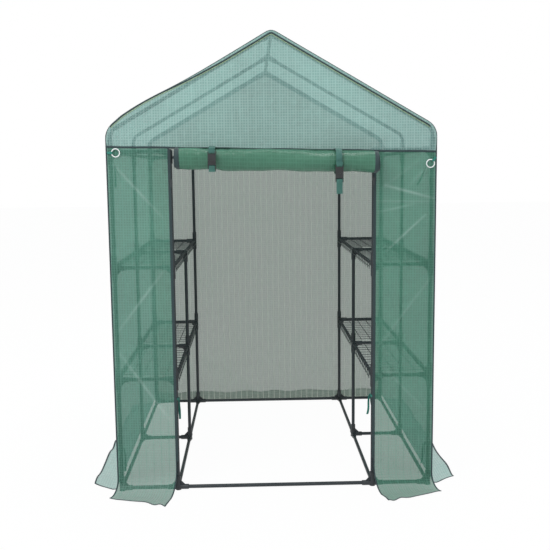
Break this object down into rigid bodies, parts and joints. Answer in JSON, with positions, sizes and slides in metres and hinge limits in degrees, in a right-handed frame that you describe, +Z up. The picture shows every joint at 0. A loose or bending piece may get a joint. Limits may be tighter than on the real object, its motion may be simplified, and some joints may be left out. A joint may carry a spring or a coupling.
{
  "type": "walk-in shelf greenhouse",
  "caption": "Walk-in greenhouse with a plug-together tube frame, wire shelves on both sides of an aisle, a translucent grid cover with ground skirts and a roll-up door.",
  "frame": {"origin": "on the ground at the middle of the footprint", "axes": "+Z up, +Y from the door to the back wall, +X to the right seen from the door"},
  "size_m": [1.618, 1.736, 1.9596],
  "materials": {
    "tube": "powder-coated near-black green, satin",
    "connector": "moulded black plastic",
    "shelf_wire": "coated wire, near-black green",
    "cover_fabric": "translucent green sheet with a square reinforcing grid",
    "webbing": "woven dark teal webbing",
    "buckle": "moulded black plastic",
    "zip_metal": "dark coated zinc",
    "binding": "woven near-black green tape",
    "ring": "white coated wire",
    "tie_tape": "woven teal tape"
  },
  "bodies": {
    "frame_and_cover": {"back_inner_posts": "tube", "back_outer_posts": "tube", "back_rafters": "tube", "back_sill_tube": "tube", "back_wall": "cover_fabric", "base_cross_tubes": "tube", "base_inner_connectors": "connector", "base_outer_connectors": "connector", "base_rails": "tube", "eave_connectors": "connector", "eave_rails": "tube", "front_gable_panel": "cover_fabric", "front_inner_posts": "tube", "front_left_panel": "cover_fabric", "front_outer_posts": "tube", "front_rafters": "tube", "front_right_panel": "cover_fabric", "front_sill_tube": "tube", "inner_top_connectors": "connector", "left_wall": "cover_fabric", "lower_cross_tubes": "tube", "lower_shelf_rails": "tube", "middle_inner_posts": "tube", "middle_outer_posts": "tube", "middle_rafters": "tube", "ridge_connectors": "connector", "ridge_rails": "tube", "right_wall": "cover_fabric", "ring_tabs": "tie_tape", "roof_cover": "cover_fabric", "shelf_inner_connectors": "connector", "shelf_outer_connectors": "connector", "tie_tapes": "tie_tape", "top_cross_tubes": "tube", "upper_cross_tubes": "tube", "upper_shelf_rails": "tube", "zip_tapes": "binding"},
    "door_roll": {"door_roll": "cover_fabric", "strap_front_left": "webbing", "strap_back_left": "webbing", "strap_front_right": "webbing", "strap_back_right": "webbing", "buckle_socket_left": "buckle", "buckle_socket_right": "buckle"},
    "buckle_plug_left": {"buckle_plug_left": "buckle"},
    "buckle_plug_right": {"buckle_plug_right": "buckle"},
    "zip_slider_left": {"zip_slider_left": "zip_metal"},
    "zip_slider_right": {"zip_slider_right": "zip_metal"},
    "zip_pull_left": {"zip_pull_left": "zip_metal"},
    "zip_pull_right": {"zip_pull_right": "zip_metal"},
    "guy_ring_left": {"guy_ring_left": "ring"},
    "guy_ring_right": {"guy_ring_right": "ring"},
    "lower_left_front_shelf": {"lower_left_front_shelf": "shelf_wire"},
    "lower_left_rear_shelf": {"lower_left_rear_shelf": "shelf_wire"},
    "lower_right_front_shelf": {"lower_right_front_shelf": "shelf_wire"},
    "lower_right_rear_shelf": {"lower_right_rear_shelf": "shelf_wire"},
    "upper_left_front_shelf": {"upper_left_front_shelf": "shelf_wire"},
    "upper_left_rear_shelf": {"upper_left_rear_shelf": "shelf_wire"},
    "upper_right_front_shelf": {"upper_right_front_shelf": "shelf_wire"},
    "upper_right_rear_shelf": {"upper_right_rear_shelf": "shelf_wire"}
  },
  "joints": [
    {"name": "door_roll_swing", "type": "hinge", "parent": "frame_and_cover", "child": "door_roll", "pos_m": [0, -0.6935, 1.474], "axis": [-1, 0, 0], "range_deg": [0, 60]},
    {"name": "buckle_release_left", "type": "slide", "parent": "door_roll", "child": "buckle_plug_left", "axis": [0, 0, -1], "range_m": [0, 0.03]},
    {"name": "buckle_release_right", "type": "slide", "parent": "door_roll", "child": "buckle_plug_right", "axis": [0, 0, -1], "range_m": [0, 0.03]},
    {"name": "zip_travel_left", "type": "slide", "parent": "frame_and_cover", "child": "zip_slider_left", "axis": [0, 0, -1], "range_m": [0, 1.18]},
    {"name": "zip_pull_swing_left", "type": "hinge", "parent": "zip_slider_left", "child": "zip_pull_left", "pos_m": [-0.42335, -0.6947, 1.345], "axis": [-1, 0, 0], "range_deg": [0, 150]},
    {"name": "zip_travel_right", "type": "slide", "parent": "frame_and_cover", "child": "zip_slider_right", "axis": [0, 0, -1], "range_m": [0, 1.18]},
    {"name": "zip_pull_swing_right", "type": "hinge", "parent": "zip_slider_right", "child": "zip_pull_right", "pos_m": [0.42335, -0.6947, 1.345], "axis": [-1, 0, 0], "range_deg": [0, 150]},
    {"name": "guy_ring_swing_left", "type": "hinge", "parent": "frame_and_cover", "child": "guy_ring_left", "pos_m": [-0.6645, -0.6934, 1.463], "axis": [0, 0, -1], "range_deg": [0, 100]},
    {"name": "guy_ring_swing_right", "type": "hinge", "parent": "frame_and_cover", "child": "guy_ring_right", "pos_m": [0.67261, -0.6934, 1.41964], "axis": [-0.766, 0, 0.6428], "range_deg": [0, 100]},
    {"name": "lower_left_front_shelf_lift", "type": "slide", "parent": "frame_and_cover", "child": "lower_left_front_shelf", "axis": [0, 0, 1], "range_m": [0, 0.12]},
    {"name": "lower_left_rear_shelf_lift", "type": "slide", "parent": "frame_and_cover", "child": "lower_left_rear_shelf", "axis": [0, 0, 1], "range_m": [0, 0.12]},
    {"name": "lower_right_front_shelf_lift", "type": "slide", "parent": "frame_and_cover", "child": "lower_right_front_shelf", "axis": [0, 0, 1], "range_m": [0, 0.12]},
    {"name": "lower_right_rear_shelf_lift", "type": "slide", "parent": "frame_and_cover", "child": "lower_right_rear_shelf", "axis": [0, 0, 1], "range_m": [0, 0.12]},
    {"name": "upper_left_front_shelf_lift", "type": "slide", "parent": "frame_and_cover", "child": "upper_left_front_shelf", "axis": [0, 0, 1], "range_m": [0, 0.12]},
    {"name": "upper_left_rear_shelf_lift", "type": "slide", "parent": "frame_and_cover", "child": "upper_left_rear_shelf", "axis": [0, 0, 1], "range_m": [0, 0.12]},
    {"name": "upper_right_front_shelf_lift", "type": "slide", "parent": "frame_and_cover", "child": "upper_right_front_shelf", "axis": [0, 0, 1], "range_m": [0, 0.12]},
    {"name": "upper_right_rear_shelf_lift", "type": "slide", "parent": "frame_and_cover", "child": "upper_right_rear_shelf", "axis": [0, 0, 1], "range_m": [0, 0.12]}
  ]
}
